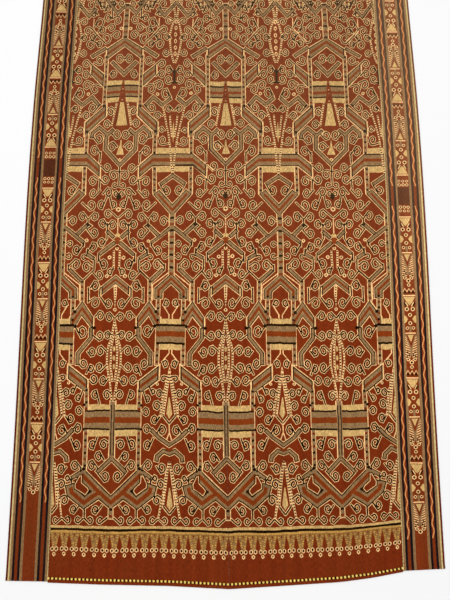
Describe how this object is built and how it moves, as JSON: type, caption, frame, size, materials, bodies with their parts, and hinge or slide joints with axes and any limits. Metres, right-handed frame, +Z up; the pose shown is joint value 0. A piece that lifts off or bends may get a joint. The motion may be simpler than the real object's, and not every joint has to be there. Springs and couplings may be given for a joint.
{
  "type": "ikat woven cloth blanket",
  "caption": "Ceremonial warp-ikat cotton blanket lying open and flat, with mirrored patterned panels sewn at a centre seam and striped strips along its sides.",
  "frame": {"origin": "on the surface the blanket lies on, under the middle of its outline", "axes": "+Y along the length, from the near hemmed end of the picture towards the far end; +X across the width; +Z up, out of the patterned face"},
  "size_m": [1.2154, 2.3, 0.0051],
  "materials": {
    "panel_cotton": "matte",
    "strip_cotton": "matte"
  },
  "bodies": {
    "root": {"panel_left": "panel_cotton", "panel_right": "panel_cotton", "strip_left": "strip_cotton", "strip_right": "strip_cotton"}
  },
  "joints": []
}
